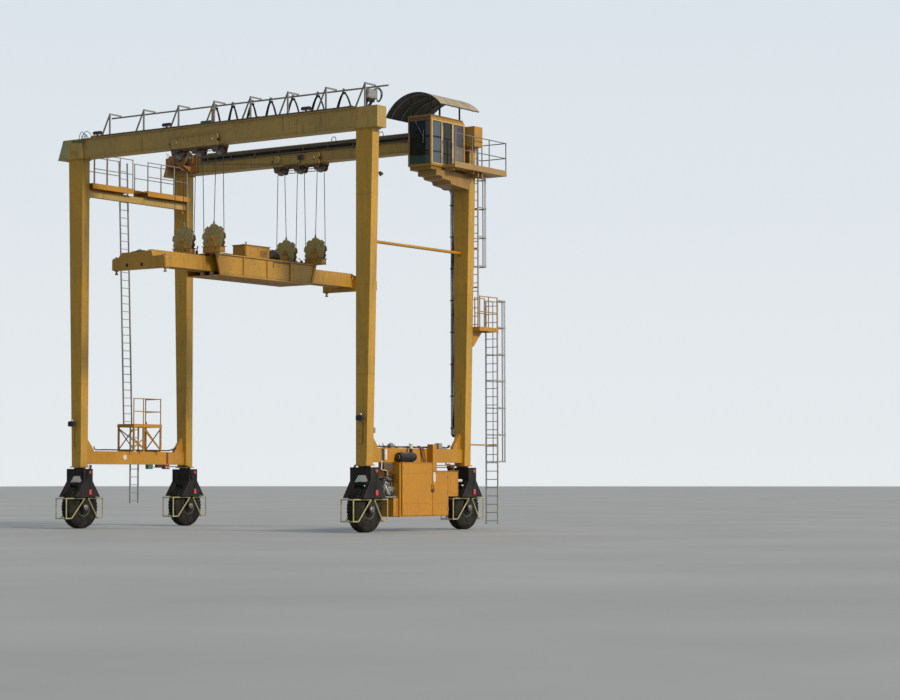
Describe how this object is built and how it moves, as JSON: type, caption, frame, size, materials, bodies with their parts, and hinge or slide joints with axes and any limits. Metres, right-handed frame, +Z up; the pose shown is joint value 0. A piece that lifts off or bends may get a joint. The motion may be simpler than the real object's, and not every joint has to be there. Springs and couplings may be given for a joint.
{
  "type": "rubber tyred gantry crane",
  "caption": "Container gantry crane on steered rubber-tyred wheels, with twin girders, a trolley on each girder, a telescopic spreader hung on ropes, a raised cab and caged ladders.",
  "frame": {"origin": "on the ground under the middle of the crane's overall box, halfway between the near and far frames", "axes": "+X along the girders towards the cab, +Y along the travel direction towards the far frame, +Z up"},
  "size_m": [15.0801, 12.245, 15.41],
  "materials": {
    "yellow_paint": "weathered gloss",
    "black_paint": "dusty semi-matte",
    "galvanised": "matte galvanised",
    "wheel_steel": "dusty semi-matte",
    "tyre": "dusty matte",
    "rope": "greased",
    "hose": "matte",
    "glass": "tinted",
    "sunshade": "faded matte",
    "engine_grey": "painted silver"
  },
  "bodies": {
    "frame": {"near_left_leg": "yellow_paint", "far_left_leg": "yellow_paint", "near_right_leg": "yellow_paint", "far_right_leg": "yellow_paint", "left_sill": "yellow_paint", "right_sill": "yellow_paint", "near_girder": "yellow_paint", "far_girder": "yellow_paint", "left_tie": "yellow_paint", "left_walkway": "yellow_paint", "left_walkway_rails": "galvanised", "right_tie": "yellow_paint", "left_landing": "yellow_paint", "left_ladders": "galvanised", "right_landing": "yellow_paint", "upper_ladder": "galvanised", "lower_ladder": "galvanised", "ladder_brackets": "yellow_paint", "upper_cage": "galvanised", "lower_cage": "galvanised", "cab_bracket": "yellow_paint", "cab_body": "yellow_paint", "cab_glass": "glass", "cab_sunshade": "sunshade", "cab_gallery": "yellow_paint", "cabinet": "yellow_paint", "engine": "engine_grey", "exhaust": "black_paint", "festoon_posts": "galvanised", "festoon_rail": "galvanised", "festoon_hose": "hose", "leg_hoses": "hose", "hoist_winches": "yellow_paint", "floodlights": "black_paint"},
    "near_left_steering": {"near_left_yoke": "black_paint"},
    "near_left_wheel": {"near_left_tyre": "tyre", "near_left_rim": "wheel_steel"},
    "far_left_steering": {"far_left_yoke": "black_paint"},
    "far_left_wheel": {"far_left_tyre": "tyre", "far_left_rim": "wheel_steel"},
    "near_right_steering": {"near_right_yoke": "black_paint"},
    "near_right_wheel": {"near_right_tyre": "tyre", "near_right_rim": "wheel_steel"},
    "far_right_steering": {"far_right_yoke": "black_paint"},
    "far_right_wheel": {"far_right_tyre": "tyre", "far_right_rim": "wheel_steel"},
    "near_trolley": {"near_trolley": "yellow_paint", "near_hoist_ropes": "rope"},
    "far_trolley": {"far_trolley": "yellow_paint", "far_hoist_ropes": "rope"},
    "spreader": {"spreader_frame": "yellow_paint", "sheave_blocks": "yellow_paint", "spreader_power_unit": "yellow_paint"},
    "near_arm": {"near_arm": "yellow_paint"},
    "far_arm": {"far_arm": "yellow_paint"},
    "cabinet_left_door": {"cabinet_left_door": "yellow_paint"},
    "cabinet_right_door": {"cabinet_right_door": "yellow_paint"}
  },
  "joints": [
    {"name": "near_left_steer", "type": "hinge", "parent": "frame", "child": "near_left_steering", "pos_m": [-6.57, -2.93, 2.2], "axis": [0, 0, 1], "range_deg": [-10, 90]},
    {"name": "near_left_roll", "type": "hinge", "parent": "near_left_steering", "child": "near_left_wheel", "pos_m": [-6.57, -2.93, 0.775], "axis": [1, 0, 0], "continuous": true},
    {"name": "far_left_steer", "type": "hinge", "parent": "frame", "child": "far_left_steering", "pos_m": [-6.57, 2.93, 2.2], "axis": [0, 0, 1], "range_deg": [-90, 10]},
    {"name": "far_left_roll", "type": "hinge", "parent": "far_left_steering", "child": "far_left_wheel", "pos_m": [-6.57, 2.93, 0.775], "axis": [1, 0, 0], "continuous": true},
    {"name": "near_right_steer", "type": "hinge", "parent": "frame", "child": "near_right_steering", "pos_m": [6.57, -2.93, 2.2], "axis": [0, 0, 1], "range_deg": [-90, 10]},
    {"name": "near_right_roll", "type": "hinge", "parent": "near_right_steering", "child": "near_right_wheel", "pos_m": [6.57, -2.93, 0.775], "axis": [1, 0, 0], "continuous": true},
    {"name": "far_right_steer", "type": "hinge", "parent": "frame", "child": "far_right_steering", "pos_m": [6.57, 2.93, 2.2], "axis": [0, 0, 1], "range_deg": [-10, 90]},
    {"name": "far_right_roll", "type": "hinge", "parent": "far_right_steering", "child": "far_right_wheel", "pos_m": [6.57, 2.93, 0.775], "axis": [1, 0, 0], "continuous": true},
    {"name": "trolley_travel", "type": "slide", "parent": "frame", "child": "near_trolley", "axis": [1, 0, 0], "range_m": [-3.2, 4.95], "deforming": ["festoon_hose"]},
    {"name": "far_trolley_travel", "type": "slide", "parent": "frame", "child": "far_trolley", "axis": [1, 0, 0], "range_m": [-3.2, 4.95]},
    {"name": "hoist", "type": "slide", "parent": "near_trolley", "child": "spreader", "axis": [0, 0, 1], "range_m": [-8.2, 2], "deforming": ["near_hoist_ropes", "far_hoist_ropes"]},
    {"name": "near_arm_slide", "type": "slide", "parent": "spreader", "child": "near_arm", "axis": [0, 1, 0], "range_m": [0, 3.066]},
    {"name": "far_arm_slide", "type": "slide", "parent": "spreader", "child": "far_arm", "axis": [0, -1, 0], "range_m": [0, 3.066]},
    {"name": "cabinet_left_door_hinge", "type": "hinge", "parent": "frame", "child": "cabinet_left_door", "pos_m": [6.988, -1.332, 1.45], "axis": [0, 0, 1], "range_deg": [-110, 0]},
    {"name": "cabinet_right_door_hinge", "type": "hinge", "parent": "frame", "child": "cabinet_right_door", "pos_m": [6.988, 1.432, 1.45], "axis": [0, 0, 1], "range_deg": [0, 110]}
  ],
  "couplings": [
    {"joint": "far_trolley_travel", "follows": "trolley_travel", "ratio": 1},
    {"joint": "far_arm_slide", "follows": "near_arm_slide", "ratio": 1}
  ]
}
